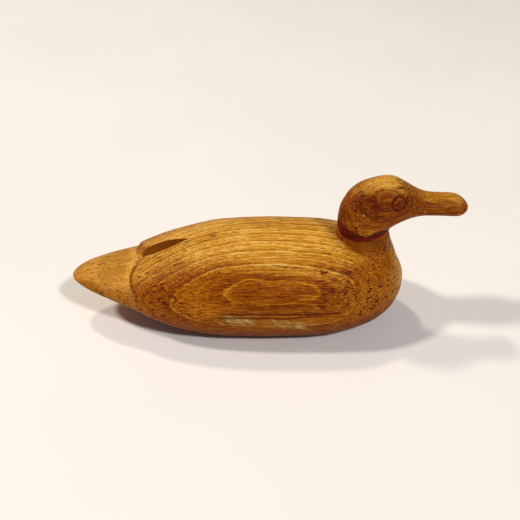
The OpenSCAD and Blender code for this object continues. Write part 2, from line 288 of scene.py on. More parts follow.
def soften(piece, voxel, passes):
    """Fuses overlapping skins into one and eases the lines where they meet."""
    apply_modifier(piece, "REMESH", mode="VOXEL", voxel_size=voxel * MM)
    apply_modifier(piece, "SMOOTH", factor=0.5, iterations=passes)


def trim_below(piece, z):
    """Cuts the piece off flat at height z and closes it."""
    choose(piece)
    bpy.ops.object.mode_set(mode="EDIT")
    bpy.ops.mesh.select_all(action="SELECT")
    bpy.ops.mesh.bisect(
        plane_co=(0, 0, z * MM), plane_no=(0, 0, 1), clear_inner=True, use_fill=True, threshold=0.001 * MM
    )
    bpy.ops.mesh.select_all(action="SELECT")
    bpy.ops.mesh.normals_make_consistent(inside=False)
    bpy.ops.object.mode_set(mode="OBJECT")


def drill(x, y, low, high, radius, sides=64):
    """A cylinder to cut with."""
    deselect()
    bpy.ops.mesh.primitive_cylinder_add(
        vertices=sides, radius=radius * MM, depth=(high - low) * MM, location=(x * MM, y * MM, (low + high) / 2 * MM)
    )
    tool = bpy.context.object
    bpy.ops.object.transform_apply()
    return tool


def cut(piece, *tools, lining=None):
    """Cuts the tools out of the piece, one after another, and removes them. The cut faces take the lining."""
    for tool in tools:
        if lining:
            tool.data.materials.append(lining)
        apply_modifier(
            piece, "BOOLEAN", operation="DIFFERENCE", solver="MANIFOLD", object=tool, material_mode="TRANSFER"
        )
        choose(tool)
        bpy.ops.object.delete()


def carve(piece, depth_at):
    """Moves each vertex along its normal by depth_at(point, normal), in millimetres."""
    mesh = piece.data
    normals = [v.normal.copy() for v in mesh.vertices]
    for vertex, normal in zip(mesh.vertices, normals):
        vertex.co += normal * (depth_at(vertex.co / MM, normal) * MM)
    mesh.update()


def shade(piece, angle=40):
    """Smooth shading that keeps the cut edges sharp."""
    choose(piece)
    bpy.ops.object.shade_smooth_by_angle(angle=math.radians(angle))


def settle(piece, name, body, slot, *nodes):
    """Names the piece, lets it ride on its body and stand for its frame nodes."""
    piece.name = piece.data.name = name
    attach(piece, body)
    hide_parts(*nodes)


# ---- materials ----------------------------------------------------------------------------


class Value:
    """A number in a material. Python's operators on it add Math nodes."""

    def __init__(self, paint, socket):
        self.paint = paint
        self.socket = socket

    def __add__(self, other):
        return self.paint.maths("ADD", self, other)

    def __sub__(self, other):
        return self.paint.maths("SUBTRACT", self, other)

    def __rsub__(self, other):
        return self.paint.maths("SUBTRACT", other, self)

    def __mul__(self, other):
        return self.paint.maths("MULTIPLY", self, other)

    def __truediv__(self, other):
        return self.paint.maths("DIVIDE", self, other)

    __radd__ = __add__
    __rmul__ = __mul__


class Paint:
    """A material being made. node() adds any node, and the other methods are short ways to common ones."""

    def __init__(self, name):
        self.material = bpy.data.materials.new(name)
        self.material.use_nodes = True
        self.tree = self.material.node_tree
        self.tree.nodes.clear()
        self.shader = self.tree.nodes.new("ShaderNodeBsdfPrincipled")
        output = self.tree.nodes.new("ShaderNodeOutputMaterial")
        self.tree.links.new(self.shader.outputs[0], output.inputs["Surface"])

    def node(self, kind, settings=(), inputs=(), output=0):
        """A node of this kind. settings are set first, then inputs: socket name or number to a value or link."""
        made = self.tree.nodes.new(kind)
        for key, value in dict(settings).items():
            if key == "stops":
                ramp = made.color_ramp
                while len(ramp.elements) < len(value):
                    ramp.elements.new(0.5)
                for element, (place, tone) in zip(ramp.elements, value):
                    element.position = place
                    element.color = (*tone, 1)
            else:
                setattr(made, key, value)
        for key, value in dict(inputs).items():
            self.feed(made.inputs[key], value)
        return Value(self, made.outputs[output])

    def feed(self, socket, value):
        """Links a Value to a socket, or sets a plain one."""
        if isinstance(value, Value):
            self.tree.links.new(value.socket, socket)
        elif socket.type == "RGBA" and len(value) == 3:
            socket.default_value = (*value, 1)
        else:
            socket.default_value = value

    def maths(self, operation, a, b=0.0):
        return self.node("ShaderNodeMath", {"operation": operation}, {0: a, 1: b})

    def vector(self, operation, a, b, output=0):
        return self.node("ShaderNodeVectorMath", {"operation": operation}, {0: a, 1: b}, output)

    def length(self, vector):
        return self.vector("LENGTH", vector, (0, 0, 0), 1)

    def mix(self, a, b, factor):
        """Colour a turning to colour b as factor goes from 0 to 1."""
        return self.node("ShaderNodeMix", {"data_type": "RGBA"}, {0: factor, 6: a, 7: b}, 2)

    def place(self):
        """The object's own coordinates, in millimetres."""
        where = self.node("ShaderNodeTexCoord", output=3)
        return self.vector("MULTIPLY", where, (1 / MM, 1 / MM, 1 / MM))

    def parts(self, point):
        """x, y and z of a point."""
        made = self.node("ShaderNodeSeparateXYZ", (), {0: point})
        return [Value(self, s) for s in made.socket.node.outputs]

    def noise(self, point, stretch, detail=2.0, roughness=0.5, shift=(0, 0, 0)):
        """Noise of 0 to 1, with stretch cycles per millimetre along x, y and z."""
        at = self.vector("ADD", self.vector("MULTIPLY", point, stretch), shift)
        return self.node(
            "ShaderNodeTexNoise", (), {"Vector": at, "Scale": 1.0, "Detail": detail, "Roughness": roughness}
        )

    def spots(self, point, stretch, shift, edge, channel, kept):
        """Scattered spots of 0 to 1, each a cell of the stretched space. A spot fades over the two distances
        of edge, and a channel of its random colour keeps it or drops it over the two values of kept."""
        at = self.vector("ADD", self.vector("MULTIPLY", point, stretch), shift)
        near = self.node("ShaderNodeTexVoronoi", (), {"Vector": at, "Scale": 1.0})
        chance = self.parts(Value(self, near.socket.node.outputs["Color"]))[channel]
        return self.ease(near, *edge, 1.0, 0.0) * self.ease(chance, *kept)

    def ease(self, value, low, high, start=0.0, end=1.0):
        """start below low, end above high, and smooth between."""
        return self.node(
            "ShaderNodeMapRange",
            {"interpolation_type": "SMOOTHSTEP"},
            {0: value, 1: low, 2: high, 3: start, 4: end},
        )

    def bump(self, height, strength, distance):
        """Relief that feeds Normal. distance is in millimetres."""
        return self.node("ShaderNodeBump", (), {"Height": height, "Strength": strength, "Distance": distance * MM})

    def finish(self, **inputs):
        """Feeds the shader's sockets, given with _ for each space, and returns the material."""
        for key, value in inputs.items():
            self.feed(self.shader.inputs[key.replace("_", " ")], value)
        return self.material


def in_band(paint, value, low, high, ease):
    """1 between low and high, falling to 0 over ease on both sides."""
    return paint.ease(value, low - ease, low) * paint.ease(value, high, high + ease, 1.0, 0.0)


def tone_scale(paint, value, prefix, tones):
    """Deep to gold to pale wood, and the light growth line at the top of the scale."""
    places = ((0.0, "deep"), (0.38, "gold"), (0.70, "pale"), (1.0, "line"))
    stops = [(place, tuple(getattr(tones, f"{prefix}_{step}"))) for place, step in places]
    return paint.node("ShaderNodeValToRGB", {"stops": stops}, {0: value})


def wood(name, tones, grain, upper, side):
    """Varnished open-grained wood: growth rings round a pith that runs along x, fibres and pores, with painted light.

    grain holds the place of the pith, the radius of the first ring and its spacing, and how the rings stray."""
    p = Paint(name)
    at = p.place()
    x, y, z = p.parts(at)
    facing = p.parts(p.node("ShaderNodeTexCoord", output=1))
    slow = p.noise(at, (0.012, 0.03, 0.03), 2.0, 0.45)
    quick = p.noise(at, (0.045, 0.13, 0.13), 2.0, 0.5, (7, 3, 1))
    ripple = p.noise(at, (0.16, 0.5, 0.5), 2.0, 0.6, (1, 9, 4))
    across = p.vector("SUBTRACT", p.vector("MULTIPLY", at, (0, 1, 1)), (0, grain["pith_y"], grain["pith_z"]))
    radius = p.length(across)
    ahead = x - grain["middle"]
    outer = p.ease(radius, grain["first"] - 2 * grain["spacing"], grain["first"])
    depth = radius - grain["taper"] * ahead * ahead * outer - grain["first"]
    # the outermost ring is a calm oval that leans up the flank
    inside = p.ease(depth, -4.0, -1.0)
    waves = (slow - 0.5) * grain["wander"] + (quick - 0.5) * grain["wobble"] + (ripple - 0.5) * 0.4
    depth = depth + waves * (1.0 - 0.7 * inside) + (z - 45.0) * grain["tilt"] * inside
    heart = p.ease(depth, -0.6, 0.4)
    rings = depth / grain["spacing"]
    phase = p.maths("FRACT", rings)
    year = p.maths("FLOOR", rings)
    strength = p.node("ShaderNodeTexWhiteNoise", {"noise_dimensions": "1D"}, {"W": year})
    line = in_band(p, phase, 0.0, 0.07 - 0.05 * inside, 0.05 - 0.03 * inside)
    late = p.ease(phase, 0.45, 0.96) * p.ease(phase, 0.96, 1.0, 1.0, 0.2)
    half = p.maths("FRACT", rings * 2.0)
    between = in_band(p, half, 0.0, 0.12, 0.08) * p.ease(facing[2], 0.55, 0.85)
    inner = in_band(p, p.maths("FRACT", rings * 4.0), 0.0, 0.2, 0.15)

    fibre = p.noise(at, (0.045, 1.5, 1.5), 3.0, 0.65, (3, 1, 8))
    fine = p.noise(at, (0.22, 3.2, 3.2), 2.0, 0.6, (5, 5, 2))
    cloud = p.noise(at, (0.02, 0.045, 0.045), 3.0, 0.55, (11, 4, 6))
    clear = (1.0 - 0.75 * p.ease(x, *grain["faint"])) * (1.0 - 0.7 * p.ease(x, *grain["faint_behind"]))
    broken = p.ease(quick, 0.34, 0.60, 0.25, 1.0) * clear
    shown = line * (0.35 + 0.65 * strength) * broken
    grit = p.noise(at, (0.5, 1.6, 1.6), 2.0, 0.7, (8, 2, 7))
    value = 0.50 + (fibre - 0.5) * 1.8 + (fine - 0.5) * 1.7 + (grit - 0.5) * 0.9 + (cloud - 0.5) * 0.7
    value = value - late * clear * (0.18 + 0.18 * strength) + inner * 0.05 + shown * grain["lines"] - heart * 0.13
    value = value + (between * 0.16 - p.ease(half, 0.5, 0.95) * p.ease(facing[2], 0.55, 0.85) * 0.14) * clear
    # Painted light: faces turned up take the lit upper tones, less so far ahead, faces turned forward take part of
    # them, and the rest keep the shaded side tones.
    sunny = p.ease(facing[2] + (cloud - 0.5) * 0.3, *grain["sunny"]) * p.ease(x, *grain["faint"], 1.0, 0.65)
    sunny = p.maths("MAXIMUM", sunny, p.ease(facing[0] + (cloud - 0.5) * 0.4, 0.55, 1.10, 0.0, 0.75))
    tone = p.mix(tone_scale(p, value, side, tones), tone_scale(p, value, upper, tones), sunny)

    bent = p.node("ShaderNodeCombineXYZ", (), {0: 0.0, 1: (quick - 0.5) * 5.0, 2: (quick - 0.5) * 5.0})
    # open pores, thickest where each ring starts: streaks along the grain, dots on the end grain
    patchy = p.ease(p.noise(at, (0.02, 0.05, 0.05), 2.0, 0.5, (2, 8, 8)), 0.40, 0.62)
    early = p.ease(phase, 0.05, 0.14) * p.ease(phase, 0.20, 0.55, 1.0, 0.15)
    pores = p.spots(p.vector("ADD", at, bent), (0.06, 0.44, 0.44), (0, 0, 0), (0.22, 0.42), 0, (0.34, 0.40))
    pores = pores * (0.35 + 0.65 * early) * (0.30 + 0.70 * patchy) * (1.0 - 0.8 * heart)
    specks = p.spots(at, (0.13, 0.95, 0.95), (4, 2, 9), (0.16, 0.34), 1, (0.50, 0.56)) * (0.3 + 0.7 * early)
    # torn grain, in dashes that rise a little ahead
    rising = p.node("ShaderNodeCombineXYZ", (), {0: x, 1: y, 2: z - 0.10 * x})
    rising = p.vector("ADD", rising, bent)
    tears = p.noise(rising, (0.06, 0.80, 0.80), 2.0, 0.55, (6, 6, 0))
    rough_zone = grain["torn"](p, x, y, z)
    torn = p.ease(tears + rough_zone * 0.02, 0.585, 0.63) * p.maths("MAXIMUM", patchy, rough_zone)
    torn = torn * p.ease(facing[2], 0.3, 0.9, 0.95, 0.45)
    dashes = p.spots(rising, (0.06, 0.52, 0.40), (3, 4, 4), (0.24, 0.38), 0, (0.24, 0.30)) * rough_zone
    torn = p.maths("MAXIMUM", torn, dashes) * (1.0 - 0.85 * heart)
    # cut vessels on the end grain of breast and nape, in columns along the rings
    rows = p.ease(phase, 0.0, 0.05) * p.ease(phase, 0.30, 0.42, 1.0, 0.0)
    vessels = p.spots(at, (0.10, 0.44, 0.32), (1, 6, 3), (0.30, 0.44), 2, (0.12, 0.18)) * rows
    vessels = vessels * p.ease(p.maths("ABSOLUTE", facing[0]), 0.15, 0.40) * p.ease(facing[2], 0.55, 0.85, 1.0, 0.0)
    tone = p.mix(tone, tones.torn, torn * 0.9)
    dark = p.maths("MAXIMUM", p.maths("MAXIMUM", pores, specks * 0.6), vessels)
    tone = p.mix(tone, tones.pore, dark * 0.92)

    relief = 0.8 * shown - late * 0.2 + fibre * 0.6 + fine * 0.3 + grit * 0.4 - p.maths("MAXIMUM", dark, torn) * 1.1
    rough = 0.44 + 0.3 * (fine - 0.5) + 0.12 * dark
    for extra in grain["marks"]:
        tone, relief = extra(p, tones, at, facing, ripple, fine, cloud, tone, relief)
    return p.finish(
        Base_Color=tone, Roughness=rough, Normal=p.bump(relief, 0.9, 0.3), Specular_IOR_Level=0.06,
    )


def flank_tears(p, x, y, z):
    """Where the flank's grain is torn most: behind the shoulder, and beside the wing tips."""
    side = p.ease(y, -30.0, -24.0, 1.0, 0.0)
    ahead = in_band(p, x, 38.0, 60.0, 9.0) * in_band(p, z, 38.0, 58.0, 5.0)
    behind = in_band(p, x, -76.0, -58.0, 9.0) * in_band(p, z, 36.0, 46.0, 6.0)
    return p.maths("MAXIMUM", ahead, behind) * side


def cheek_tears(p, x, y, z):
    """Where the cheek's grain is torn most: low on the cheek, and ahead of the nape."""
    low = in_band(p, x, NECK_X + 3, NECK_X + 16, 5.0) * in_band(p, z, 88.0, 94.0, 3.0)
    nape = in_band(p, x, NECK_X - 6, NECK_X + 3, 4.0) * in_band(p, z, 97.0, 106.0, 4.0)
    return p.maths("MAXIMUM", low, nape)


def flank_marks(p, tones, at, facing, ripple, fine, cloud, tone, relief):
    """Painted shade below. Right flank: slanting scuffs, a doubled dark line. Neck: dirt, painted shade, a stained
    rim.
    """
    x, y, z = p.parts(at)
    flank = p.ease(y, -34.0, -28.0, 1.0, 0.0)
    slant = p.vector("DOT_PRODUCT", at, (0.57, 0.0, 0.82), 1)
    along = p.vector("DOT_PRODUCT", at, (0.82, 0.0, -0.57), 1)
    stroke = p.node("ShaderNodeCombineXYZ", (), {0: along * 0.06, 1: slant * 0.50, 2: 0.0})
    strokes = p.node("ShaderNodeTexNoise", (), {"Vector": stroke, "Scale": 1.0, "Detail": 3.0, "Roughness": 0.75})
    patch = p.noise(at, (0.09, 0.09, 0.09), 2.0, 0.5, (5, 0, 2))
    zone = in_band(p, x, -26.0, -12.0, 8.0) + in_band(p, x, 8.0, 26.0, 11.0) * 0.85
    rub = p.ease(strokes + (patch - 0.5) * 0.5 + (fine - 0.5) * 0.5, 0.38, 0.62)
    rub = rub * zone * in_band(p, z + 0.10 * x, 23.5, 27.5, 3.5) * flank
    # Painted shade: the wood darkens towards the bottom, all round the body.
    tone = p.mix(tone, tones.flank_deep, p.ease(z, 10.0, 33.0, 0.70, 0.0))
    tone = p.mix(tone, tones.scuff, rub)
    # the doubled line follows the grain and fades out at both ends, with a light streak between
    level = z + 1.6 * (ripple - 0.5)
    streak = p.noise(at, (0.035, 0.7, 0.7), 2.0, 0.6, (9, 2, 3))
    close = p.ease(x, 10.0, 48.0, 0.0, 1.6)
    upper = in_band(p, level, 32.7, 33.7, 0.6) * in_band(p, x, -26.0, 50.0, 8.0) * p.ease(streak, 0.30, 0.44)
    lower = in_band(p, level - close, 29.5, 30.6, 0.6) * in_band(p, x, -30.0, 38.0, 8.0) * p.ease(streak, 0.70, 0.56)
    seam = p.maths("MAXIMUM", upper, lower * 0.85) * flank
    glint = in_band(p, level, 31.0, 32.2, 0.6) * p.ease(streak, 0.48, 0.40) * in_band(p, x, -5.0, 18.0, 8.0) * flank
    tone = p.mix(p.mix(tone, tones.torn, seam * 0.9), tones.flank_line, glint * 0.8)
    # Dirt and painted shade round the foot of the neck, where the head's shadow and the crease fall on the back.
    away = p.vector("SUBTRACT", at, (NECK_X, 0, COLLAR_LOW.z))
    grime_and_shade = p.ease(p.length(p.vector("MULTIPLY", away, (0.85, 1, 0.9))), 15.0, 26.0, 1.0, 0.0)
    tone = p.mix(tone, tones.flank_deep, grime_and_shade * p.ease(cloud, 0.3, 0.6, 0.25, 0.7))
    # the collar's stain leaves the rim of the neck a little ahead
    rim = p.ease(z, COLLAR_LOW.z - 1.4, COLLAR_LOW.z - 0.4) * p.ease(cloud, 0.4, 0.6, 0.2, 0.8)
    tone = p.mix(tone, tones.collar_red, rim * in_band(p, x, NECK_X - 19, NECK_X - 4, 2.0))
    return tone, relief - seam * 0.8 - rub * 0.2


def tail_marks(p, tones, at, facing, ripple, fine, cloud, tone, relief):
    """The tail duller, blotched and dashed; wear and painted light and shade at the step behind the wings."""
    x, y, z = p.parts(at)
    out = p.maths("ABSOLUTE", y) / (BODY_HIGH.y - 0.2)
    curve = p.maths("SINE", p.maths("MINIMUM", out / 0.7, 1.0) * math.pi)
    edge = WING_EDGE - WING_LOBE * curve + WING_SWEEP * p.maths("MAXIMUM", out - 0.6, 0.0)
    edge = (BODY_HIGH.x - BODY_LOW.x) * edge
    behind = x - BODY_LOW.x - edge + 5.0 * (cloud - 0.5) + 3.0 * (ripple - 0.5)
    top_side = p.ease(z, 24.0, 34.0)
    on_tail = p.ease(behind, -9.0, -3.0, 1.0, 0.0) * top_side
    blotch = p.noise(at, (0.06, 0.16, 0.16), 3.0, 0.65, (4, 7, 1))
    tone = p.mix(tone, tones.tail_tan, on_tail * p.ease(blotch, 0.36, 0.62, 0.15, 0.75))
    dashes = p.spots(at, (0.17, 0.45, 0.45), (2, 6, 5), (0.14, 0.34), 1, (0.62, 0.68)) * on_tail
    tone = p.mix(tone, tones.flank_deep, dashes * 0.8)
    # Wear and painted highlight: a pale band behind the wing tips, partly standing for the lit rear face of the step.
    worn_and_lit = in_band(p, behind, -3.6, -1.2, 1.6) * top_side * p.ease(cloud + fine, 0.85, 1.15, 0.15, 1.0)
    tone = p.mix(tone, tones.worn_and_lit, worn_and_lit * 0.38)
    streak = p.noise(at, (0.035, 0.7, 0.7), 2.0, 0.6, (9, 2, 3))
    # Painted shade: a broken dark line in the crease along the step behind the wings.
    step_shade_line = in_band(p, behind, -0.5, 0.5, 0.7) * p.ease(streak, 0.40, 0.58) * top_side
    tone = p.mix(tone, tones.pore, step_shade_line * 0.7)
    return tone, relief - dashes * 0.5 - step_shade_line * 0.6


def head_marks(p, tones, at, facing, ripple, fine, cloud, tone, relief):
    """Stained eye ring, iris and brow, a darker patch on the cheek, stain crept up from the collar, and a small pale
    fleck.
    """
    x, y, z = p.parts(at)
    creep = 1.0 + p.maths("MAXIMUM", (NECK_X - 1 - x) * 0.32, (x - NECK_X + 1) * 0.30) + 2.4 * (ripple - 0.5)
    stain = p.ease(z - COLLAR_HIGH.z - creep, -0.3, 0.5, 1.0, 0.0) * p.ease(x, NECK_X + 20, NECK_X + 24, 1.0, 0.0)
    from_eye = p.vector("SUBTRACT", p.vector("MULTIPLY", at, (1, 0, 1.08)), (EYE_X, 0, 1.08 * EYE_Z))
    spread = p.length(from_eye) + (ripple - 0.5) * 2.2
    side_on = p.ease(p.maths("ABSOLUTE", facing[1]), 0.3, 0.6)
    ragged = p.noise(at, (0.45, 0.6, 0.6), 2.0, 0.6, (2, 2, 9))
    radius = bpy.context.scene.decoy_sizes.eye_radius
    eye = in_band(p, spread, radius - 0.7, radius + 0.7, 0.5) * side_on * p.ease(ragged, 0.34, 0.50, 0.25, 1.0)
    iris = p.ease(spread, radius - 1.6, radius - 0.4, 1.0, 0.0) * side_on * p.ease(ragged, 0.44, 0.53)
    brow = in_band(p, spread, radius + 4.3, radius + 5.1, 0.6) * side_on * p.ease(x, NECK_X + 16, NECK_X + 22)
    tone = p.mix(tone, tones.torn, p.maths("MAXIMUM", iris * 0.75, brow * 0.6))
    tone = p.mix(tone, p.mix(tones.pore, tones.torn, 0.4), eye * 0.9)
    spot = p.vector("MULTIPLY", p.vector("SUBTRACT", at, (NECK_X - 1, 0, 98)), (0.55, 0, 1))
    dark_cheek_patch = p.ease(p.length(spot) + (cloud - 0.5) * 12, 3.0, 8.5, 1.0, 0.0) * side_on
    tone = p.mix(tone, tones.cheek_deep, dark_cheek_patch * p.ease(cloud, 0.3, 0.6, 0.35, 0.75))
    tone = p.mix(tone, p.mix(tones.collar_red, tones.collar_dark, p.ease(cloud, 0.42, 0.70)), stain * 0.95)
    pale_fleck = p.vector("DISTANCE", at, (NECK_X - 3.5, -15.6, 91.5), 1)
    return p.mix(tone, (0.9, 0.85, 0.74), p.ease(pale_fleck, 0.42, 0.75, 1.0, 0.0)), relief


# ---- operators ----------------------------------------------------------------------------


class DECOY_OT_camera(bpy.types.Operator):
    """Camera in front of the duck's right side, looking down on it"""

    bl_idname = "decoy.camera"
    bl_label = "Camera"

    def execute(self, context):
        data = bpy.data.cameras.new("Camera")
        half_view, rise, distance = math.radians(20), math.radians(35), 525
        data.sensor_width = 36
        data.lens = data.sensor_width / 2 / math.tan(half_view)
        data.clip_start, data.clip_end = 0.02, 50
        camera = bpy.data.objects.new("Camera", data)
        context.scene.collection.objects.link(camera)
        aim = Vector((-2.65, 0, 44)) * MM
        back = Vector((0, -math.cos(rise), math.sin(rise)))
        camera.location = aim + back * distance * MM
        camera.rotation_mode = "QUATERNION"
        camera.rotation_quaternion = (-back).to_track_quat("-Z", "Y")
        context.scene.camera = camera
        return {"FINISHED"}


class DECOY_OT_body(bpy.types.Operator):
    """Carve the body: folded wings, paddle tail, neck, notch and the recesses below"""

    bl_idname = "decoy.body"
    bl_label = "Body"

    def execute(self, context):
        size = context.scene.decoy_sizes
        tail, length, tall = BODY_LOW.x, size.body_length, size.body_height
        half = size.body_width / 2
        root = fair(BACK, 0.2) * tall - size.wing_step

        def section(x, inset=0.0):
            """Cross-section of the block, or with an inset that of the tail."""
            u = (x - tail) / length
            ahead = tail + length - x
            nose = 0.43 * tall
            open_up, open_out = opened(ahead, 30, 2), opened(ahead, 58, 1.85)
            fan = math.sqrt(max(u, 0) / 0.2) * 0.70 if u < 0.2 else fair(BEAM, u)
            top = fair(TAIL_TOP, u) * root if inset else fair(BACK, u) * tall
            mid, low = fair(WIDE, u) * tall, fair(UNDER, u) * tall
            return ring(
                x, half * fan * open_out - inset, nose + (top - nose) * open_up,
                nose + (mid - nose) * open_up, nose + (low - nose) * open_up + inset,
                2.15, fair(UNDER_ROUND, u), 96,
            )

        mantle = loft("Mantle", [section(x) for x in stations(tail + 0.18 * length, tail + length - 0.05, 76)])
        lobes = []
        for i in range(-28, 29):
            v = abs(i) / 27
            reach = WING_EDGE - WING_LOBE * math.sin(math.pi * min(1, v / 0.7)) + WING_SWEEP * max(0, v - 0.6)
            lobes.append((tail + length * reach, i * half / 27))
        outline = [(tail - 5, -2 * half), *lobes, (tail - 5, 2 * half)]
        foot = root - 1
        behind = loft("Behind wings", [
            [(a + lean * (h - foot), b, h) for a, b in outline]
            for h, lean in ((-tall, 0.0), (foot - 12, 0.0), (foot, 0.0), (foot + 20, 0.8))
        ])
        cut(mantle, behind)

        paddle = loft("Tail", [section(x, 0.15) for x in stations(tail + 0.05, tail + 0.29 * length, 60)])
        flared = []
        for i in range(25):
            share = FLARE[0][0] + (1 - FLARE[0][0]) * i / 24
            points = []
            for k in range(96):
                a = 2 * math.pi * k / 96
                more = fair(FLARE, share, 1 if math.cos(a) > 0 else 2)
                points.append((
                    NECK_X + (size.neck_length / 2 + more) * math.cos(a),
                    (size.neck_width / 2 + fair(FLARE, share, 3)) * math.sin(a),
                    COLLAR_LOW.z * share,
                ))
            flared.append(points)
        neck = loft("Neck", flared)
        body = join(mantle, paddle, neck)
        soften(body, size.body_grain, 9)

        def knife(point, normal):
            facets = noise.noise(Vector((point.x / 17, point.y / 11, point.z / 11))) * size.knife_marks
            fine = noise.noise(Vector((point.x / 6 + 9, point.y / 4, point.z / 4))) * 0.22 * size.knife_marks
            top = smooth(COLLAR_LOW.z - point.z, 0.3, 2.5)
            return (facets + fine - 0.06) * top

        carve(body, knife)
        trim_below(body, 0)

        # the notch is a leaf sunk square to the slope of the back
        notch_start, notch_length, notch_half, notch_depth = 0.213, 38, 6.5, 8.5
        rear_z, front_z = (fair(BACK, u) * tall for u in (notch_start, notch_start + notch_length / length))
        slope = math.atan((front_z - rear_z) / notch_length)
        side = [(notch_length * i / 24, notch_half * fair(LEAF, i / 24)) for i in range(25)]
        leaf = side + [(a, -b) for a, b in reversed(side)]

        def tilted(a, b, h):
            """Point of the notch: a ahead of its rear end along the back, b aside, h above the back."""
            return (
                tail + notch_start * length + a * math.cos(slope) - h * math.sin(slope), b,
                rear_z + a * math.sin(slope) + h * math.cos(slope),
            )

        notch = loft("Notch", [[tilted(a, b, h) for a, b in leaf] for h in (-notch_depth, 14)])
        tones = context.scene.decoy_colours
        body.data.materials.clear()
        body.data.materials.append(
            wood("Varnished body wood", tones, {
                "pith_y": 82.1, "pith_z": -13.0, "middle": 8.0, "taper": 0.0, "first": 141.15, "spacing": 5.2,
                "tilt": 0.10, "wander": 1.6, "wobble": 1.0, "lines": 0.42, "torn": flank_tears, "faint": (50.0, 72.0),
                "faint_behind": (-80.0, -96.0), "sunny": (0.72, 1.02), "marks": (flank_marks, tail_marks),
            }, "back", "flank")
        )
        cut(body, notch, lining=notch_wood(tones))
        # recess for the bar with its round ends, holes for the plug and the dowel, and the line tie's pocket
        under, play, pocket_depth, pocket_radius = -5, 0.3, 11.7, 11
        reach_x = (BALLAST_HIGH.x - BALLAST_LOW.x) / 2 + play
        reach_y = (BALLAST_HIGH.y - BALLAST_LOW.y) / 2 + play
        middle = (BALLAST_HIGH.x + BALLAST_LOW.x) / 2
        bar = []
        for k in range(64):
            a = 2 * math.pi * (k + 0.5) / 64
            end = middle + math.copysign(reach_x - reach_y, math.cos(a))
            bar.append((end + reach_y * math.cos(a), reach_y * math.sin(a)))
        recess = loft("Recess", [[(a, b, h) for a, b in bar] for h in (under, BALLAST_HIGH.z)])
        cut(
            body, recess,
            drill(NECK_X, 0, under, WASHER_HIGH.z + play, (PLUG_HIGH.x - PLUG_LOW.x) / 2),
            drill(NECK_X, 0, WASHER_HIGH.z - 2, COLLAR_LOW.z + 5, (DOWEL_HIGH.x - DOWEL_LOW.x) / 2 + 0.05),
            drill(TIE_X, 0, under, TIE_EYE_LOW.z + pocket_depth, pocket_radius),
            lining=plain_wood("Bare wood below", tones, (0.40, 0.19, 0.05)),
        )
        shade(body)
        settle(body, "carved_body", "base", "body_wood", "body")
        return {"FINISHED"}


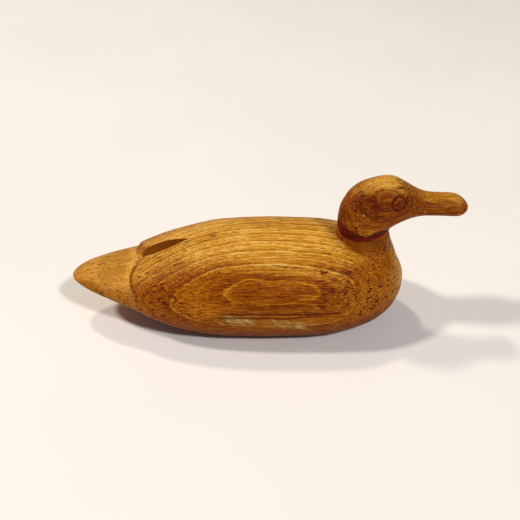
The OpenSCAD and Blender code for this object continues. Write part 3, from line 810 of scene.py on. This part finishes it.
class DECOY_OT_head(bpy.types.Operator):
    """Carve the head: bill, cheeks, eye rings and nostrils"""

    bl_idname = "decoy.head"
    bl_label = "Head"

    def execute(self, context):
        size = context.scene.decoy_sizes
        back, tip, base = HEAD_LOW.x - 0.15, HEAD_HIGH.x + 0.06, HEAD_LOW.z
        tall, half = HEAD_HIGH.z - HEAD_LOW.z, size.head_width / 2
        sections = []
        for x in stations(back + 0.15, tip - 0.06, 90):
            u = (x - back) / (tip - back)
            rear, end = opened(x - back, 14, 2), opened(tip - x, 9, 2.2)
            mid = fair(SIDE, u) * tall
            sections.append(ring(
                x, half * fair(CHEEK, u) * rear * end, base + mid + (fair(CROWN, u) * tall - mid) * end, base + mid,
                base + mid + (fair(JAW, u) * tall - mid) * end, 2.1, 2.2, 88,
            ))
        skull = loft("Skull", sections)
        nape = []
        for i in range(14):
            share = -0.08 + 0.52 * i / 13
            swell = fair(NAPE, max(share, 0))
            nape.append([(
                NECK_X + (size.neck_length / 2 + swell - 4 * max(share, 0)) * math.cos(2 * math.pi * k / 88),
                (size.neck_width / 2 + swell) * math.sin(2 * math.pi * k / 88), base + share * tall,
            ) for k in range(88)])
        head = join(skull, loft("Nape", nape))
        soften(head, size.head_grain, 14)

        eye = Vector((EYE_X, 0, EYE_Z))

        def knife(point, normal):
            depth = noise.noise(Vector((point.x / 10, point.y / 7, point.z / 7))) * size.knife_marks * 0.8
            away = math.hypot(point.x - eye.x, (point.z - eye.z) * 1.08)
            side_on = smooth(abs(normal.y), 0.15, 0.5)
            # groove round the eye, domed eye, groove of the brow ahead, lid between them, full cheek
            depth -= 0.75 * math.exp(-(((away - size.eye_radius) / 0.62) ** 2)) * side_on
            depth += 0.45 * smooth(size.eye_radius - away, 0.4, 2.6) * side_on
            front = smooth(point.x - eye.x, -3, 4)
            depth -= 0.42 * math.exp(-(((away - size.eye_radius - 4.6) / 0.9) ** 2)) * side_on * front
            depth += 0.22 * math.exp(-(((away - size.eye_radius - 2.2) / 1.2) ** 2)) * side_on
            cheek_x, cheek_z = (point.x - eye.x + 13) / 8, (point.z - eye.z + 3.5) / 6.5
            depth += 0.55 * math.exp(-(cheek_x**2) - cheek_z**2) * side_on
            nostril = math.hypot((point.x - NECK_X - 37.5) / 2.3, (point.z - 95.8) / 0.8)
            depth -= 0.7 * smooth(1.25 - nostril, 0, 1) * smooth(abs(point.y), 3, 6)
            mouth_z = 90.65 - 0.01 * (point.x - NECK_X - 40)
            along = smooth(point.x, NECK_X + 33, NECK_X + 42) * smooth(abs(normal.y), 0.35, 0.7)
            depth -= 0.28 * math.exp(-(((point.z - mouth_z) / 0.55) ** 2)) * along
            return depth * smooth(point.z - base, 0.3, 1.8)

        carve(head, knife)
        trim_below(head, base)
        tones = context.scene.decoy_colours
        head.data.materials.clear()
        head.data.materials.append(
            wood("Varnished head wood", tones, {
                "pith_y": 52.0, "pith_z": 60.0, "middle": 78.0, "taper": 0.003, "first": 79.0, "spacing": 3.4,
                "tilt": 0.0, "wander": 2.5, "wobble": 1.5, "lines": 0.24, "torn": cheek_tears, "faint": (90.0, 104.0),
                "faint_behind": (-80.0, -96.0), "sunny": (0.62, 1.15), "marks": (head_marks,),
            }, "back", "cheek")
        )
        dowel_hole = drill(NECK_X, 0, base - 5, DOWEL_HIGH.z, (DOWEL_HIGH.x - DOWEL_LOW.x) / 2)
        cut(head, dowel_hole, lining=plain_wood("Bare wood in the head", tones, (0.50, 0.30, 0.12)))
        shade(head)
        settle(head, "carved_head", "turning_head", "head_wood", "head")
        return {"FINISHED"}


class DECOY_OT_collar(bpy.types.Operator):
    """Turn the dark collar that lies in the neck between body and head"""

    bl_idname = "decoy.collar"
    bl_label = "Neck collar"

    def execute(self, context):
        long, wide = (COLLAR_HIGH.x - COLLAR_LOW.x) / 2, (COLLAR_HIGH.y - COLLAR_LOW.y) / 2
        low, high = COLLAR_LOW.z, COLLAR_HIGH.z
        bore = (DOWEL_HIGH.x - DOWEL_LOW.x) / 2 + 0.05
        profile = [(0, 0.5), (0.12, 0.15), (0.3, 0.0), (0.7, 0.0), (0.88, 0.15), (1, 0.5)]
        rings = [
            [(
                NECK_X + (long - inset) * math.cos(2 * math.pi * k / 128),
                (wide - inset) * math.sin(2 * math.pi * k / 128), low + (high - low) * share,
            ) for k in range(128)]
            for share, inset in profile
        ]
        collar = loft("Collar", rings)
        cut(collar, drill(NECK_X, 0, low - 3, high + 3, bore, 96))
        apply_modifier(collar, "TRIANGULATE")
        shade(collar, 50)
        settle(collar, "neck_band", "base", "collar_wood", "neck_collar")
        tones = context.scene.decoy_colours
        p = Paint("Dark stained collar")
        at = p.place()
        grain = p.noise(at, (0.06, 0.5, 1.6), 3.0, 0.6)
        blot = p.noise(at, (0.09, 0.09, 0.12), 2.0, 0.5, (3, 1, 2))
        x, _, z = p.parts(at)
        tone = p.mix(tones.collar_red, tones.collar_dark, p.ease(blot, 0.42, 0.75))
        tone = p.mix(tone, tones.collar_dark, p.ease(x, NECK_X - 14, NECK_X - 2, 0.4, 0.0))
        tone = p.mix(tone, tones.flank_deep, p.ease(grain, 0.60, 0.80, 0.0, 0.35))
        edge = z - low - p.maths("MAXIMUM", (x - NECK_X - 1) * 0.20, 0.0) - 1.2 * (grain - 0.5)
        tone = p.mix(tone, tones.flank_gold, p.ease(edge, -0.3, 0.3, 1.0, 0.0) * p.ease(x, NECK_X, NECK_X + 6))
        collar.data.materials.clear()
        collar.data.materials.append(p.finish(
            Base_Color=tone, Roughness=0.38 + 0.2 * grain, Normal=p.bump(grain, 0.5, 0.15), Specular_IOR_Level=0.08
        ))
        return {"FINISHED"}


def plain_wood(name, tones, lighter):
    """Bare end-grained wood of the dowel, the plug and the bores."""
    p = Paint(name)
    at = p.place()
    middle = p.vector("SUBTRACT", p.vector("MULTIPLY", at, (1, 1, 0)), (NECK_X - 30, 12, 0))
    away = p.length(middle) + p.noise(at, (0.2, 0.2, 0.05), 2.0) * 1.6
    phase = p.maths("FRACT", away / 1.7)
    dots = p.spots(at, (1.5, 1.5, 0.08), (0, 0, 0), (0.10, 0.24), 0, (0.40, 0.45))
    tone = p.mix(lighter, tones.flank_deep, p.ease(phase, 0.35, 0.95, 0.0, 0.5))
    tone = p.mix(tone, tones.pore, dots * 0.8)
    return p.finish(Base_Color=tone, Roughness=0.5 + 0.15 * phase, Normal=p.bump(phase * 0.4 - dots, 0.6, 0.12))


def notch_wood(tones):
    """Duller bare wood on the walls and floor of the notch, with small dark pores."""
    p = Paint("Wood in the notch")
    at = p.place()
    fibre = p.noise(at, (0.08, 1.2, 1.2), 3.0, 0.6)
    pores = p.spots(at, (0.30, 0.60, 0.60), (0, 0, 0), (0.14, 0.30), 0, (0.45, 0.50))
    tone = p.mix(tones.notch, [0.72 * c for c in tones.notch], p.ease(fibre, 0.4, 0.65))
    tone = p.mix(tone, tones.pore, pores * 0.8)
    return p.finish(
        Base_Color=tone, Roughness=0.6 + 0.1 * fibre, Normal=p.bump(fibre - pores, 0.6, 0.2), Specular_IOR_Level=0.06
    )


def metal(name, tone, dull, metallic, rough, pits):
    """Worn metal: cloudy tarnish, fine scratches and pits."""
    p = Paint(name)
    at = p.place()
    cloud = p.noise(at, (0.12, 0.12, 0.16), 3.0, 0.6)
    scratch = p.noise(at, (0.25, 3.0, 3.0), 2.0, 0.6, (2, 5, 1))
    pit = p.spots(at, (0.8, 0.8, 0.8), (0, 0, 0), (0.10, 0.30), 0, (1 - pits, 1.05 - pits))
    tone = p.mix(tone, dull, p.ease(cloud, 0.38, 0.66))
    tone = p.mix(tone, [0.5 * c for c in dull], pit * 0.8)
    return p.finish(
        Base_Color=tone, Metallic=metallic, Roughness=rough + 0.25 * p.ease(cloud, 0.35, 0.7) + 0.1 * scratch,
        Normal=p.bump(scratch * 0.3 + cloud * 0.6 - pit, 0.5, 0.12),
    )


class DECOY_OT_fittings(bpy.types.Operator):
    """Give the ballast bar, screws, line tie, dowel and plug their tarnished, scratched metal and bare wood"""

    bl_idname = "decoy.fittings"
    bl_label = "Fittings"

    def execute(self, context):
        tones = context.scene.decoy_colours
        lead = metal("Dull lead", tones.lead, (0.30, 0.30, 0.30), 0.35, 0.5, 0.25)
        brass = metal("Tarnished brass", tones.brass, (0.16, 0.095, 0.035), 0.9, 0.28, 0.12)
        steel = metal("Plated steel", tones.steel, (0.28, 0.27, 0.26), 1.0, 0.26, 0.1)
        bare = plain_wood("Bare dowel wood", tones, (0.55, 0.36, 0.17))
        plug = plain_wood("Plug end grain", tones, (0.46, 0.23, 0.06))
        finishes = {
            "ballast_weight": lead, "ballast_screws": brass, "line_tie_eye": brass, "line_tie_ring": brass,
            "head_screw": steel, "screw_washer": steel, "neck_dowel": bare, "bottom_plug": plug,
        }
        for node, material in finishes.items():
            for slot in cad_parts[node].material_slots:
                slot.material = material
        return {"FINISHED"}


class DECOY_OT_stage(bpy.types.Operator):
    """Pale floor and soft studio light"""

    bl_idname = "decoy.stage"
    bl_label = "Floor and light"

    def execute(self, context):
        tones = context.scene.decoy_colours
        floor_z, lamp_distance, lamp_size = -0.0002, 4.0, 0.42
        deselect()
        bpy.ops.mesh.primitive_plane_add(size=context.scene.decoy_sizes.floor_size, location=(0, 0, floor_z))
        floor = bpy.context.object
        floor.name = floor.data.name = "Floor"
        p = Paint("Pale floor")
        cloud = p.noise(p.place(), (0.004, 0.004, 0.004), 2.0)
        pale = p.mix(tones.floor, [0.97 * c for c in tones.floor], p.ease(cloud, 0.3, 0.7))
        floor.data.materials.append(p.finish(Base_Color=pale, Roughness=0.55, Specular_IOR_Level=0.25))
        lamps = (
            ("Lamp behind left", (-0.32, 0.41, 0.82), 46.0, (1.0, 0.87, 0.70)),
            ("Lamp left", (-0.67, 0.03, 0.74), 79.0, (1.0, 0.91, 0.81)),
            ("Lamp front right", (0.43, -0.55, 0.72), 81.0, (0.97, 0.965, 0.95)),
        )
        for name, direction, power, tint in lamps:
            data = bpy.data.lights.new(name, "AREA")
            data.shape, data.size, data.energy, data.color = "DISK", lamp_size, power, tint
            lamp = bpy.data.objects.new(name, data)
            lamp.location = Vector(direction).normalized() * lamp_distance
            lamp.rotation_mode = "QUATERNION"
            lamp.rotation_quaternion = Vector(direction).to_track_quat("Z", "Y")
            context.scene.collection.objects.link(lamp)
        world = bpy.data.worlds.new("Room light")
        world.use_nodes = True
        world.node_tree.nodes["Background"].inputs["Color"].default_value = (0.93, 0.98, 1.0, 1)
        world.node_tree.nodes["Background"].inputs["Strength"].default_value = 0.12
        context.scene.world = world
        context.scene.view_settings.view_transform = "Standard"
        return {"FINISHED"}


class DECOY_PT_panel(bpy.types.Panel):
    """Operators and settings of the decoy"""

    bl_idname = "DECOY_PT_panel"
    bl_label = "Duck decoy"
    bl_space_type = "VIEW_3D"
    bl_region_type = "UI"
    bl_category = "Decoy"

    def draw(self, context):
        for made in STEPS:
            self.layout.operator(made.bl_idname)
        for group in (context.scene.decoy_sizes, context.scene.decoy_colours):
            for name in group.bl_rna.properties.keys():
                if name not in ("rna_type", "name"):
                    self.layout.prop(group, name)


STEPS = (DECOY_OT_camera, DECOY_OT_body, DECOY_OT_head, DECOY_OT_collar, DECOY_OT_fittings, DECOY_OT_stage)
CLASSES = (DecoySizes, DecoyColours, *STEPS, DECOY_PT_panel)


def register():
    for made in CLASSES:
        bpy.utils.register_class(made)
    bpy.types.Scene.decoy_sizes = PointerProperty(type=DecoySizes)
    bpy.types.Scene.decoy_colours = PointerProperty(type=DecoyColours)


def unregister():
    del bpy.types.Scene.decoy_colours
    del bpy.types.Scene.decoy_sizes
    for made in reversed(CLASSES):
        bpy.utils.unregister_class(made)


def main():
    register()
    bpy.ops.decoy.camera()
    bpy.ops.decoy.body()
    bpy.ops.decoy.head()
    bpy.ops.decoy.collar()
    bpy.ops.decoy.fittings()
    bpy.ops.decoy.stage()


if __name__ == "__main__":
    main()
